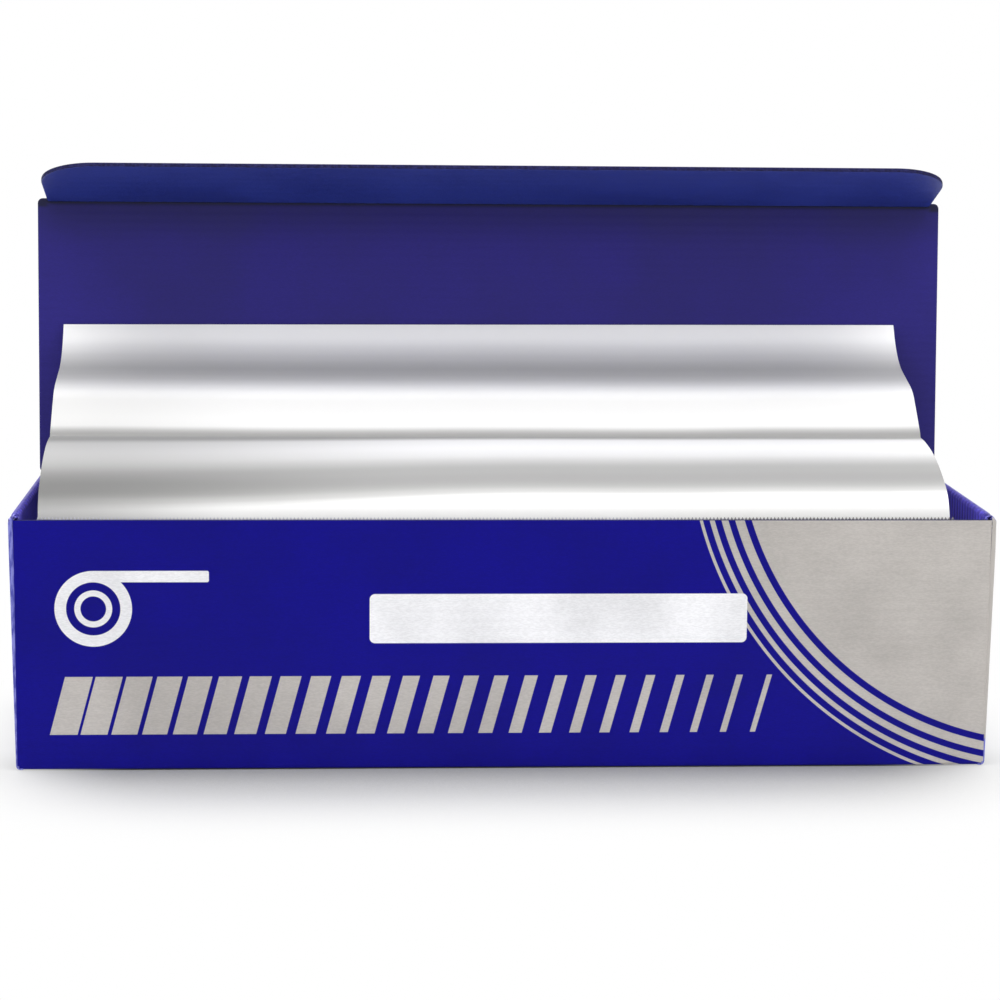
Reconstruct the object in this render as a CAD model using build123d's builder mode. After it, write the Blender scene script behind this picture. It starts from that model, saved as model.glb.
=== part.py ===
"""Roll of aluminium foil in its cutter carton: folded board tray with an open lid and tuck
flap, a toothed steel cutter strip, the wound foil on its core, and the pulled-out leaf.

The origin is the centre of the carton's underside. +X runs along the carton, +Z is up, and
the front wall with the cutter faces -Y. Lengths are millimetres and angles are degrees.
"""
import os
from math import asin, atan2, cos, degrees, hypot, pi, radians, sin, sqrt

from build123d import *

# Carton board; its length follows from the core that lies in it
carton_depth = 101.0
front_height = 84.0
board = 1.6
fold_radius = 1.4
corner_radius = 0.8

# Rolled-over end walls
rim_rise = 1.3
end_edge_setback = 0.4
inner_panel_gap = 1.5
flute_pitch = 4.0
flute_width = 3.0
flute_floor_width = 1.2
flute_depth = 0.25
lock_tab_width = 26.0
lock_tab_spacing = 52.0
lock_tab_recess = 0.5

# Lid and tuck flap
lid_rest_gap = 0.3
crease_clearance = 0.25
lid_lean = 4.5
flap_length = 42.0
flap_side_gap = 0.4
flap_corner_radius = 20.0
flap_open_tilt = 20.0
flap_closed_fold = 115.0
tuck_gap = 0.3

# Steel cutter strip
cutter_thickness = 0.3
cutter_height = 12.0
tooth_pitch = 1.2
tooth_depth = 1.2
tooth_rise = 0.9

# Foil web, core and roll
foil_width = 304.8
foil_gauge = 0.014
foil_run = 76200.0
packing_share = 0.93
core_bore = 38.0
core_wall = 2.0
core_overhang = 5.6
core_end_gap = 0.3
core_end_play = 5.3
core_chamfer = 0.3
roll_behind_middle = 3.0
turn_groove_width = 0.8
turn_groove_depth = 0.25
turn_groove_count = 3

# Pulled-out leaf
leaf_thickness = 0.3
leaf_seat_gap = 0.1
leaf_wrap_angle = 40.0
leaf_turn_radius = 3.0
leaf_turn_drop = 0.8
leaf_wall_gap = 5.3
bulge_start_angle = 78.0
bulge_front_run = 2.4
bulge_front_radius = 12.0
bulge_shoulder_angle = 36.0
bulge_top_radius = 62.0
bulge_end_angle = 0.0
crease_radius = 1.2
hump_start_angle = 60.0
hump_foot_radius = 6.0
hump_front_angle = 42.0
hump_front_run = 14.0
hump_top_radius = 20.0
hump_end_angle = 14.0
lean_radius = 30.0
lean_angle = 56.0
leaf_end_run = 3.6
leaf_lid_gap = 0.4

# Places that follow from the sizes above
core_length = foil_width + 2 * core_overhang
inner_half = (core_length + core_end_gap + core_end_play) / 2
panel_half = inner_half + board
half_length = panel_half + board
half_depth = carton_depth / 2
front_inner_y = -half_depth + board
rim_height = front_height + rim_rise
hinge_y = half_depth - board / 2
hinge_z = rim_height + lid_rest_gap + board / 2
rear_height = hinge_z - board / 2 - crease_clearance
closed_fold_y = front_inner_y + cutter_thickness + tuck_gap + board / 2
lid_span = hinge_y - closed_fold_y
flap_width = 2 * (inner_half - flap_side_gap)
core_diameter = core_bore + 2 * core_wall
roll_diameter = sqrt(core_diameter**2 + 4 * foil_run * foil_gauge / (pi * packing_share))
roll_centre = Vector(roll_behind_middle, board + roll_diameter / 2)
core_left = -inner_half + core_end_gap
foil_left = core_left + core_overhang


def heading(angle):
    """Unit direction in the YZ plane, measured from +Y towards +Z."""
    return Vector(cos(radians(angle)), sin(radians(angle)))


lid_direction = heading(90 - lid_lean)
inward = heading(180 - lid_lean)
hinge_point = Vector(hinge_y, hinge_z)
fold_point = hinge_point + lid_direction * lid_span

# Tray: one sheet of board. Front wall, bottom and rear wall are one bend; each end wall is
# an outer panel rolled over a rounded rim into a fluted inner panel locked to the bottom.
with BuildPart() as carton_tray:
    with BuildSketch(Plane.YZ.offset(-panel_half)):
        with BuildLine():
            outside = FilletPolyline(
                (-half_depth, front_height),
                (-half_depth, 0),
                (half_depth, 0),
                (half_depth, rear_height),
                radius=fold_radius,
            )
            Polyline(
                outside @ 1,
                (half_depth - board, rear_height),
                (half_depth - board, board),
                (front_inner_y, board),
                (front_inner_y, front_height),
                outside @ 0,
            )
        make_face()
    extrude(amount=2 * panel_half)
    upright_folds = carton_tray.edges().filter_by(Axis.Z).filter_by(
        lambda edge: abs(abs(edge.center().Y) - half_depth) < corner_radius
    )
    fillet(upright_folds, radius=corner_radius)

    with BuildSketch(Plane.XZ):
        with BuildLine():
            outer_panel = FilletPolyline(
                (panel_half, 0),
                (half_length, 0),
                (half_length, rim_height - board),
                radius=fold_radius,
            )
            outer_rim = RadiusArc(outer_panel @ 1, (panel_half, rim_height), -board)
            Line(outer_rim @ 1, outer_panel @ 0)
        make_face()
    extrude(amount=half_depth - end_edge_setback, both=True)

    inner_panel_half = half_depth - board - inner_panel_gap
    with BuildSketch(Plane.XZ):
        with BuildLine():
            inner_rim = RadiusArc((panel_half, rim_height), (inner_half, rim_height - board), -board)
            Polyline(
                inner_rim @ 1,
                (inner_half, board),
                (panel_half, board),
                inner_rim @ 0,
            )
        make_face()
    extrude(amount=inner_panel_half, both=True)

    flute_count = int((2 * inner_panel_half - flute_width) / flute_pitch) + 1
    with BuildSketch(Plane.XY.offset(board)):
        with Locations((inner_half, 0)):
            with GridLocations(0, flute_pitch, 1, flute_count):
                Polygon(
                    (0, -flute_width / 2),
                    (flute_depth, -flute_floor_width / 2),
                    (flute_depth, flute_floor_width / 2),
                    (0, flute_width / 2),
                    (-flute_depth, 0),
                    align=None,
                )
    extrude(amount=rim_height - 2 * board, mode=Mode.SUBTRACT)

    with BuildSketch(Plane.XY):
        with Locations((panel_half - board / 2, 0)):
            with GridLocations(0, lock_tab_spacing, 1, 2):
                Rectangle(board, lock_tab_width)
    extrude(amount=lock_tab_recess, mode=Mode.SUBTRACT)

    # The left end repeats the right one
    split(bisect_by=Plane.YZ, keep=Keep.TOP)
    mirror(about=Plane.YZ)
carton_tray.part.label = "carton_tray"

# Lid: a flat panel with rounded creases on the hinge line and on the tuck flap's line
lid_section = Plane(
    origin=(-half_length, hinge_y, hinge_z),
    x_dir=(0, lid_direction.X, lid_direction.Y),
    z_dir=(1, 0, 0),
)
with BuildPart() as carton_lid:
    with BuildSketch(lid_section):
        with Locations((lid_span / 2, 0)):
            SlotCenterToCenter(lid_span, board)
    extrude(amount=2 * half_length)
carton_lid.part.label = "carton_lid"

# Tuck flap: folded forward over the carton, with wide rounded corners. Its root is cut
# round the crease and relieved on the inner side, so that it can fold in past the lid.
flap_direction = heading(180 - flap_open_tilt)
flap_face = Plane(
    origin=(0, fold_point.X, fold_point.Y),
    x_dir=(1, 0, 0),
    z_dir=(0, -flap_direction.Y, flap_direction.X),
)
flap_section = Plane(
    origin=(0, fold_point.X, fold_point.Y),
    x_dir=(0, flap_direction.X, flap_direction.Y),
    z_dir=(1, 0, 0),
)
with BuildPart() as tuck_flap:
    with BuildSketch(flap_face) as flap_outline:
        Rectangle(flap_width, flap_length, align=(Align.CENTER, Align.MIN))
        fillet(flap_outline.vertices().group_by(Axis.Y)[-1], radius=flap_corner_radius)
    extrude(amount=board / 2, both=True)
    with BuildSketch(flap_section):
        Circle(board / 2 + crease_clearance)
        Rectangle(
            2 * board,
            board + 2 * crease_clearance,
            rotation=180 - flap_closed_fold,
            align=(Align.MIN, Align.CENTER),
        )
    extrude(amount=half_length, both=True, mode=Mode.SUBTRACT)
tuck_flap.part.label = "tuck_flap"

# Cutter: a steel strip on the inside of the front wall, its teeth standing above the edge
tooth_count = round(foil_width / tooth_pitch)
tooth_half = foil_width / tooth_count / 2
tip_z = front_height + tooth_rise
saw_edge = [
    (foil_left + step * tooth_half, tip_z if step % 2 else tip_z - tooth_depth)
    for step in range(2 * tooth_count + 1)
]
with BuildPart() as cutter_strip:
    with BuildSketch(Plane.XZ.offset(-front_inner_y)):
        with BuildLine():
            Polyline(
                *saw_edge,
                (foil_left + foil_width, front_height - cutter_height),
                (foil_left, front_height - cutter_height),
                close=True,
            )
        make_face()
    extrude(amount=-cutter_thickness)
cutter_strip.part.label = "cutter_strip"

# Core: a spirally wound board tube, a little longer than the foil is wide
with BuildPart() as core_tube:
    with BuildSketch(Plane.YZ.offset(core_left)):
        with Locations(roll_centre):
            Circle(core_diameter / 2)
            Circle(core_bore / 2, mode=Mode.SUBTRACT)
    extrude(amount=core_length)
    chamfer(core_tube.edges().filter_by(GeomType.CIRCLE), length=core_chamfer)
core_tube.part.label = "core_tube"

# Foil roll: all its turns as one body, with the edges of some turns sunk at each end
turn_step = (roll_diameter - core_diameter) / 2 / (turn_groove_count + 1)
with BuildPart() as foil_roll:
    with BuildSketch(Plane.YZ.offset(foil_left)):
        with Locations(roll_centre):
            Circle(roll_diameter / 2)
            Circle(core_diameter / 2, mode=Mode.SUBTRACT)
    extrude(amount=foil_width)
    for groove_start in (foil_left, foil_left + foil_width - turn_groove_depth):
        with BuildSketch(Plane.YZ.offset(groove_start)):
            for turn in range(1, turn_groove_count + 1):
                turn_radius = core_diameter / 2 + turn * turn_step
                with Locations(roll_centre):
                    Circle(turn_radius + turn_groove_width / 2)
                    Circle(turn_radius - turn_groove_width / 2, mode=Mode.SUBTRACT)
        extrude(amount=turn_groove_depth, mode=Mode.SUBTRACT)
foil_roll.part.label = "foil_roll"

# Leaf: leaves the roll over its top, turns back just behind the front wall, bulges up,
# is creased, humps again and leans its free end on the inside of the lid.
wrap_radius = roll_diameter / 2 + leaf_seat_gap + leaf_thickness / 2
turn_centre = Vector(
    front_inner_y + leaf_wall_gap + leaf_turn_radius,
    front_height - leaf_turn_drop,
)
to_turn = turn_centre - roll_centre
centre_distance = hypot(to_turn.X, to_turn.Y)
centre_angle = degrees(atan2(to_turn.Y, to_turn.X))
leave_angle = centre_angle + degrees(asin((wrap_radius + leaf_turn_radius) / centre_distance))
straight_run = sqrt(centre_distance**2 - (wrap_radius + leaf_turn_radius) ** 2)
wrap_start_angle = leave_angle - leaf_wrap_angle
wrap_start = roll_centre + heading(wrap_start_angle - 90) * wrap_radius

with BuildPart() as foil_leaf:
    with BuildSketch(Plane.YZ.offset(foil_left)):
        with BuildLine():
            wrap = JernArc(wrap_start, heading(wrap_start_angle), wrap_radius, leaf_wrap_angle)
            run = Line(wrap @ 1, wrap @ 1 + heading(leave_angle) * straight_run)
            turn = JernArc(run @ 1, run % 1, leaf_turn_radius, bulge_start_angle - leave_angle)
            front = Line(turn @ 1, turn @ 1 + heading(bulge_start_angle) * bulge_front_run)
            shoulder = JernArc(
                front @ 1, front % 1, bulge_front_radius, bulge_shoulder_angle - bulge_start_angle
            )
            top = JernArc(
                shoulder @ 1, shoulder % 1, bulge_top_radius, bulge_end_angle - bulge_shoulder_angle
            )
            crease = JernArc(top @ 1, top % 1, crease_radius, hump_start_angle - bulge_end_angle)
            foot = JernArc(
                crease @ 1, crease % 1, hump_foot_radius, hump_front_angle - hump_start_angle
            )
            rising = Line(foot @ 1, foot @ 1 + heading(hump_front_angle) * hump_front_run)
            hump = JernArc(
                rising @ 1, rising % 1, hump_top_radius, hump_end_angle - hump_front_angle
            )
            # The slope after the hump is as long as brings the free end to the lid
            rise = lean_angle - hump_end_angle
            chord = 2 * lean_radius * sin(radians(rise / 2))
            reach = heading(hump_end_angle + rise / 2) * chord + heading(lean_angle) * leaf_end_run
            free_side = hump @ 1 + Vector(reach.X, reach.Y) - hinge_point
            room = free_side.dot(inward) - board / 2 - leaf_thickness / 2 - leaf_lid_gap
            slope_run = room / cos(radians(hump_end_angle + lid_lean))
            slope = Line(hump @ 1, hump @ 1 + heading(hump_end_angle) * slope_run)
            lean = JernArc(slope @ 1, slope % 1, lean_radius, rise)
            Line(lean @ 1, lean @ 1 + heading(lean_angle) * leaf_end_run)
        trace(line_width=leaf_thickness)
    extrude(amount=foil_width)
foil_leaf.part.label = "foil_leaf"

os.makedirs("parts", exist_ok=True)
export_step(carton_tray.part, "parts/carton_tray.step")
export_step(carton_lid.part, "parts/carton_lid.step")
export_step(tuck_flap.part, "parts/tuck_flap.step")
export_step(cutter_strip.part, "parts/cutter_strip.step")
export_step(core_tube.part, "parts/core_tube.step")
export_step(foil_roll.part, "parts/foil_roll.step")
export_step(foil_leaf.part, "parts/foil_leaf.step")
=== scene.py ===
import bmesh
import bpy
from math import asin, atan2, copysign, cos, hypot, pi, radians, sin, sqrt
from mathutils import Matrix, Vector, noise


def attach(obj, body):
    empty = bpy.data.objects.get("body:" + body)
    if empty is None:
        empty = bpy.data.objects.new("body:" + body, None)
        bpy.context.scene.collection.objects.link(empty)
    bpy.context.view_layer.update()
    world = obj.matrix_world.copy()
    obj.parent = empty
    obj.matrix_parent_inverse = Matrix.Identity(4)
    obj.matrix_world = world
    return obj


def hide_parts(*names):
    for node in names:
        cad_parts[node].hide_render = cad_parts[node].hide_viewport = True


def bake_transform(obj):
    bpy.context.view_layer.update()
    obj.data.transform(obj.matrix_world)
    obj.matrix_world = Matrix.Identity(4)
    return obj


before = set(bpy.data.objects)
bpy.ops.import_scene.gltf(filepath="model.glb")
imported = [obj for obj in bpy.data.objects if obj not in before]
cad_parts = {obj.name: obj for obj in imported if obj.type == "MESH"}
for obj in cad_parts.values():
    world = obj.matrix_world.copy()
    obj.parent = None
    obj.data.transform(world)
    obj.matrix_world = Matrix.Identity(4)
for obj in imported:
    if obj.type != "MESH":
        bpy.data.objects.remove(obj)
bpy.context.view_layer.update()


# Tray walls: front wall, bottom and rear wall of the carton, one sheet of printed
# corrugated board folded up from the bottom. The front and rear walls turn round the
# corners into the ends, and four slots in the bottom take the tabs of the end walls.
board = 0.0016
half_length = 0.164
panel_half = half_length - board
inner_half = panel_half - board
half_depth = 0.0505
front_height = 0.084
rear_height = 0.08535
fold_radius = 0.0014
corner_radius = 0.0008
slot_near = 0.013
slot_far = 0.039
worn_edge = 0.0002
tolerance = 1e-6
merge_distance = 1e-7
flute_pitch = 0.0032
flute_relief = 0.00003
fibre_relief = 0.00006
ink_edge = 0.0001


def fill_inputs(tree, node, inputs):
    """Gives each input of a node its value, or links it to the socket that feeds it."""
    for name, value in inputs.items():
        if isinstance(value, bpy.types.NodeSocket):
            tree.links.new(value, node.inputs[name])
        else:
            node.inputs[name].default_value = value


def add_node(tree, kind, inputs=None, **settings):
    new = tree.nodes.new(kind)
    for name, value in settings.items():
        setattr(new, name, value)
    fill_inputs(tree, new, inputs or {})
    return new


def math_node(tree, operation, first, second=0.0, third=0.0):
    inputs = {0: first, 1: second, 2: third}
    return add_node(tree, "ShaderNodeMath", inputs, operation=operation).outputs[0]


def times(tree, first, *others):
    for other in others:
        first = math_node(tree, "MULTIPLY", first, other)
    return first


def away_from(tree, value, middle):
    """How far a value lies from a middle one, on either side of it."""
    return math_node(tree, "ABSOLUTE", math_node(tree, "SUBTRACT", value, middle))


def vector_node(tree, operation, first, second=(0, 0, 0)):
    new = add_node(tree, "ShaderNodeVectorMath", {0: first, 1: second}, operation=operation)
    return new.outputs["Value" if operation == "LENGTH" else "Vector"]


def split_axes(tree, place):
    return add_node(tree, "ShaderNodeSeparateXYZ", {0: place}).outputs


def combine_axes(tree, x, y, z=0.0):
    return add_node(tree, "ShaderNodeCombineXYZ", {0: x, 1: y, 2: z}).outputs[0]


def soft_step(tree, value, low, high, low_value=0.0, high_value=1.0):
    inputs = {0: value, 1: low, 2: high, 3: low_value, 4: high_value}
    return add_node(
        tree, "ShaderNodeMapRange", inputs, interpolation_type="SMOOTHSTEP"
    ).outputs[0]


def uneven(tree, place, scale, detail, stretch=None, **more):
    """A cloudy unevenness between 0 and 1, finer along the axes that are stretched more."""
    if stretch:
        place = vector_node(tree, "MULTIPLY", place, stretch)
    inputs = {"Vector": place, "Scale": scale, "Detail": detail, **more}
    return add_node(tree, "ShaderNodeTexNoise", inputs).outputs[0]


def blend_colour(tree, factor, first, second, mode="MIX"):
    inputs = {0: factor, 6: first, 7: second}
    return add_node(tree, "ShaderNodeMix", inputs, data_type="RGBA", blend_type=mode).outputs[2]


def start_material(name):
    material = bpy.data.materials.new(name)
    material.use_nodes = True
    tree = material.node_tree
    place = add_node(tree, "ShaderNodeTexCoord").outputs["Object"]
    return material, tree, tree.nodes["Principled BSDF"], place


def roughen(tree, surface, height, strength, distance):
    """Shows a height, in units of the distance, as fine relief on the surface."""
    inputs = {"Height": height, "Strength": strength, "Distance": distance}
    relief = add_node(tree, "ShaderNodeBump", inputs).outputs[0]
    fill_inputs(tree, surface, {"Normal": relief})


def board_finish(tree, surface, place, colour, flutes_along):
    """Coated board: fibres and faint flutes in relief, uneven ink, a satin varnish."""
    axes = split_axes(tree, place)
    if flutes_along == "X":
        fibre_stretch = (14, 60, 60)
        across_flutes = math_node(tree, "ADD", axes["Z"], axes["Y"])
    else:
        fibre_stretch = (60, 60, 14)
        across_flutes = axes["Y"]
    cloud = uneven(tree, place, 28.0, 4.0)
    fibre = uneven(tree, place, 55.0, 5.0, fibre_stretch, Roughness=0.65)
    wave = math_node(tree, "SINE", times(tree, across_flutes, 2 * pi / flute_pitch))
    relief = math_node(
        tree, "ADD", times(tree, wave, flute_relief), times(tree, fibre, fibre_relief)
    )
    roughen(tree, surface, relief, strength=0.55, distance=1.0)
    shade = soft_step(tree, cloud, 0.3, 0.7, 0.90, 1.08)
    speck = soft_step(tree, fibre, 0.35, 0.65, 0.93, 1.06)
    tint = times(tree, shade, speck)
    fill_inputs(tree, surface, {
        "Base Color": vector_node(tree, "MULTIPLY", colour, combine_axes(tree, tint, tint, tint)),
        "Roughness": soft_step(tree, cloud, 0.25, 0.75, 0.40, 0.52),
    })


def rounded_box(tree, flat_place, centre, half_size, radius):
    """Distance to a round-cornered rectangle on the printed face, negative inside."""
    from_centre = vector_node(tree, "ABSOLUTE", vector_node(tree, "SUBTRACT", flat_place, centre))
    shrunk = tuple(half - radius for half in half_size) + (1.0,)
    past_edge = vector_node(tree, "SUBTRACT", from_centre, shrunk)
    outside = vector_node(tree, "MAXIMUM", past_edge, (0, 0, 0))
    return math_node(tree, "SUBTRACT", vector_node(tree, "LENGTH", outside), radius)


def printed_where(tree, distance, edge=0.00008):
    return soft_step(tree, distance, edge, -edge)


def stripe(tree, value, middle, width):
    """Ink on a stripe, or on a ring where the value is the distance from its centre."""
    past_edge = math_node(tree, "SUBTRACT", away_from(tree, value, middle), width / 2)
    return printed_where(tree, past_edge)


# The front is printed: a grey field of rings like the turns of a roll in the upper right
# corner, a plain white label, a plain picture of a roll and a row of slanted bars on blue.
# The outside of the lid repeats it, read from the front when the carton is shut
print_blue = (0.0022, 0.0006, 0.2150, 1)
print_grey = (0.490, 0.463, 0.438, 1)
print_white = (0.86, 0.86, 0.88, 1)
front_ink_from = 0.0495
rear_ink_from = 0.0498
lid_ink_low = 0.0874
lid_ink_high = 0.1828
lid_print_foot = 0.1823
field_centre = (0.186, 0.118, 0)
field_radius = 0.1100
field_rings = ((0.1138, 0.0030), (0.1186, 0.0022), (0.1227, 0.0016), (0.1262, 0.0010))
bar_slant = 0.27
bar_pitch = 0.0100
bars_left = -0.150
bars_right = 0.092
widest_bar = 0.0092
narrowest_bar = 0.0014
row_height = 0.0218
row_width = 0.0196
row_middle = -0.0353
row_length = 0.2396
mark_centre = (-0.1365, 0.0545, 0)
mark_rings = ((0.0108, 0.0038), (0.0052, 0.0020))
web_centre = (-0.1175, 0.0653, 0)
web_half_size = (0.0190, 0.0019)
web_corner = 0.0006
label_centre = (0.0175, 0.0510, 0)
label_half_size = (0.0630, 0.0083)
label_corner = 0.0018

printed_front, tree, surface, place = start_material("printed_front")
axes = split_axes(tree, place)
on_wall = soft_step(tree, axes["Y"], ink_edge - front_ink_from, -ink_edge - front_ink_from)
on_lid = times(
    tree,
    soft_step(tree, axes["Y"], rear_ink_from - 2 * ink_edge, rear_ink_from + 2 * ink_edge),
    soft_step(tree, axes["Z"], lid_ink_low - ink_edge, lid_ink_low + ink_edge),
    soft_step(tree, axes["Z"], lid_ink_high + ink_edge, lid_ink_high - ink_edge),
)
on_front = math_node(tree, "MAXIMUM", on_wall, on_lid)
up_wall = times(tree, axes["Z"], math_node(tree, "SUBTRACT", 1.0, on_lid))
down_lid = times(tree, math_node(tree, "SUBTRACT", lid_print_foot, axes["Z"]), on_lid)
print_height = math_node(tree, "ADD", up_wall, down_lid)
flat_place = combine_axes(tree, axes["X"], print_height)

from_field = vector_node(tree, "LENGTH", vector_node(tree, "SUBTRACT", flat_place, field_centre))
field = printed_where(tree, math_node(tree, "SUBTRACT", from_field, field_radius))
for ring_radius, ring_width in field_rings:
    field = math_node(tree, "MAXIMUM", field, stripe(tree, from_field, ring_radius, ring_width))

slanted = math_node(tree, "SUBTRACT", axes["X"], times(tree, print_height, bar_slant))
off_bar = math_node(
    tree, "ABSOLUTE", math_node(tree, "WRAP", slanted, bar_pitch / 2, -bar_pitch / 2)
)
bar_half = add_node(
    tree, "ShaderNodeMapRange",
    {0: slanted, 1: bars_left, 2: bars_right, 3: widest_bar / 2, 4: narrowest_bar / 2},
).outputs[0]
bars = times(
    tree,
    printed_where(tree, math_node(tree, "SUBTRACT", off_bar, bar_half)),
    stripe(tree, print_height, row_height, row_width),
    stripe(tree, slanted, row_middle, row_length),
)

from_mark = vector_node(tree, "LENGTH", vector_node(tree, "SUBTRACT", flat_place, mark_centre))
mark = printed_where(tree, rounded_box(tree, flat_place, web_centre, web_half_size, web_corner))
for ring_radius, ring_width in mark_rings:
    mark = math_node(tree, "MAXIMUM", mark, stripe(tree, from_mark, ring_radius, ring_width))
label = printed_where(
    tree, rounded_box(tree, flat_place, label_centre, label_half_size, label_corner)
)

grey_ink = times(tree, on_front, math_node(tree, "MAXIMUM", field, bars))
white_ink = times(tree, on_front, math_node(tree, "MAXIMUM", label, mark))
inked = blend_colour(tree, grey_ink, print_blue, print_grey)
inked = blend_colour(tree, white_ink, inked, print_white)
board_finish(tree, surface, place, inked, "X")
fill_inputs(tree, surface, {"Specular IOR Level": 0.12})

# A cut edge of the board is painted dark as shade, and shows the openings between its flutes, painted darker
# still as shade in them
edge_shade_dark = (0.009, 0.009, 0.060, 1)
edge_shade_pale = (0.022, 0.022, 0.100, 1)
opening_shade = (0.009, 0.008, 0.045, 1)

cut_edge, tree, surface, place = start_material("cut_board_edge")
cells = add_node(tree, "ShaderNodeTexVoronoi", {"Vector": place, "Scale": 700.0, "Randomness": 0.6})
fibres = uneven(tree, place, 1500.0, 4.0)
opening = soft_step(tree, cells.outputs["Distance"], 0.25, 0.55, 1.0, 0.0)
pulp = blend_colour(tree, soft_step(tree, fibres, 0.35, 0.65), edge_shade_dark, edge_shade_pale)
fill_inputs(tree, surface, {
    "Base Color": blend_colour(tree, opening, pulp, opening_shade),
    "Roughness": 0.85,
    "Specular IOR Level": 0.2,
})
roughen(tree, surface, fibres, strength=0.5, distance=0.0002)


def row_verts(row):
    return list(dict.fromkeys(vert for edge in row for vert in edge.verts))


def turn_row(shape, row, centre, axis, angle, steps):
    """Turns a row of edges about an axis, which leaves a round strip, and gives its last row."""
    out = bmesh.ops.spin(
        shape, geom=row + row_verts(row), cent=centre, axis=axis, angle=angle, steps=steps
    )["geom_last"]
    return [item for item in out if isinstance(item, bmesh.types.BMEdge)]


def round_off(shape, geom, radius, segments, affect="EDGES"):
    bmesh.ops.bevel(
        shape, geom=geom, offset=radius, offset_type="OFFSET", segments=segments, profile=0.5,
        affect=affect, material=-1,
    )


def cut_along(shape, point, across):
    bmesh.ops.bisect_plane(
        shape, geom=shape.verts[:] + shape.edges[:] + shape.faces[:], dist=merge_distance,
        plane_co=point, plane_no=across,
    )


def face_outwards(shape, outward):
    """Makes the faces of a sheet agree, and the outermost one look to the outside."""
    bmesh.ops.recalc_face_normals(shape, faces=shape.faces)
    outermost = max(shape.faces, key=lambda face: face.calc_center_median().dot(outward))
    if outermost.normal.dot(outward) < 0:
        bmesh.ops.reverse_faces(shape, faces=shape.faces)


def make_object(shape, name, materials):
    mesh = bpy.data.meshes.new(name)
    shape.to_mesh(mesh)
    shape.free()
    made = bpy.data.objects.new(name, mesh)
    bpy.context.scene.collection.objects.link(made)
    for material in materials:
        mesh.materials.append(material)
    mesh.shade_smooth()
    return made


def finish_piece(shape, name, materials, body, slot, *nodes, sharp_from=30):
    """Makes an object of a bmesh, rides it on its body and puts it in place of CAD nodes."""
    piece = make_object(shape, name, materials)
    piece.data.set_sharp_from_angle(angle=radians(sharp_from))
    if body:
        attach(piece, body)
    if nodes:
        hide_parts(*nodes)
    return piece


def give_thickness(piece, thickness, inside_slot=0, even=True):
    """Gives a sheet its wall, grown inwards, with the cut edge's finish on the rim."""
    wall = piece.modifiers.new("board thickness", "SOLIDIFY")
    wall.thickness = thickness
    wall.offset = -1
    wall.use_even_offset = even
    wall.material_offset = inside_slot
    wall.material_offset_rim = 1


def wear_edges(piece, radius):
    worn = piece.modifiers.new("pressed edge", "BEVEL")
    worn.width = radius
    worn.segments = 2
    worn.limit_method = "ANGLE"
    worn.harden_normals = True
    worn.angle_limit = radians(50)


shape = bmesh.new()
straight_half = panel_half - corner_radius
bmesh.ops.create_cube(shape, size=1)
bmesh.ops.scale(shape, verts=shape.verts, vec=(2 * straight_half, 2 * half_depth, front_height))
bmesh.ops.translate(shape, verts=shape.verts, vec=(0, 0, front_height / 2))
open_sides = [face for face in shape.faces if face.normal.z > 0.5 or abs(face.normal.x) > 0.5]
bmesh.ops.delete(shape, geom=open_sides, context="FACES")
for vert in shape.verts:
    if vert.co.y > 0 and vert.co.z > front_height / 2:
        vert.co.z = rear_height
folds = [
    edge for edge in shape.edges
    if all(vert.co.z < fold_radius for vert in edge.verts) and edge.calc_length() > half_length
]
round_off(shape, folds, fold_radius, 5)
for side in (-1, 1):
    for back in (-1, 1):
        upright = [
            edge for edge in shape.edges
            if all(abs(vert.co.x - side * straight_half) < tolerance for vert in edge.verts)
            and all(abs(vert.co.y - back * half_depth) < tolerance for vert in edge.verts)
        ]
        corner_centre = (side * straight_half, back * (half_depth - corner_radius), 0)
        turn_row(shape, upright, corner_centre, (0, 0, 1), -side * back * pi / 2, 4)
for slot_end in (-slot_far, -slot_near, slot_near, slot_far):
    cut_along(shape, (0, slot_end, 0), (0, 1, 0))
for slot_side in (-inner_half, inner_half):
    cut_along(shape, (slot_side, 0, 0), (1, 0, 0))
slots = []
for face in shape.faces:
    middle = face.calc_center_median()
    if abs(middle.x) > inner_half and slot_near < abs(middle.y) < slot_far and middle.z < tolerance:
        slots.append(face)
bmesh.ops.delete(shape, geom=slots, context="FACES")
bmesh.ops.remove_doubles(shape, verts=shape.verts, dist=tolerance)
face_outwards(shape, Vector((0, -1, 0)))
tray = finish_piece(shape, "tray_walls", [printed_front, cut_edge], "carton", "printed_board", "carton_tray")
give_thickness(tray, board)
wear_edges(tray, worn_edge)


# End walls: each end of the carton is one panel folded up outside, rolled over a rounded
# rim and down again inside. The inner liner shows the flutes as upright ribs that run over
# the rim. Tabs on the inner panel lock into the slots of the bottom.
rim_height = 0.0853
rim_radius = 0.0016
end_half = 0.0501
inner_panel_half = 0.0474
end_sheet = 0.00148
foot_flat = 0.0009
foot_out = 0.0003
wall_columns = 250
outer_rows = 8
rim_rows = 5
inner_drops = (0.0008, 0.0016, 0.003, 0.005, 0.010, 0.015, 0.015, 0.015)
rib_pitch = 0.0040
rib_depth = 0.00040
rib_fade = 0.0025
groove_power = 0.8
fade_power = 0.7
crumple_from = 0.0405
crumple_run = 0.006
crumple_low = 0.078
crumple_rise = 0.005
crumple_fineness = 420
tab_thickness = 0.00145
tab_gap = 0.0002
tab_middle_height = 0.0013
end_blue = (0.0024, 0.0008, 0.2150, 1)
inner_blue_and_light = (0.175, 0.145, 0.920, 1)
groove_shade_blue = (0.020, 0.013, 0.280, 1)
rim_sheen_blue = (0.105, 0.085, 0.460, 1)
wrinkle_shade = (0.004, 0.002, 0.110, 1)
wrinkle_highlight = (0.42, 0.42, 0.86, 1)
end_rings_height = 0.042
end_rings = ((0.0260, 0.0018), (0.0222, 0.0026), (0.0165, 0.0036), (0.0075, 0.0050))


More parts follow.
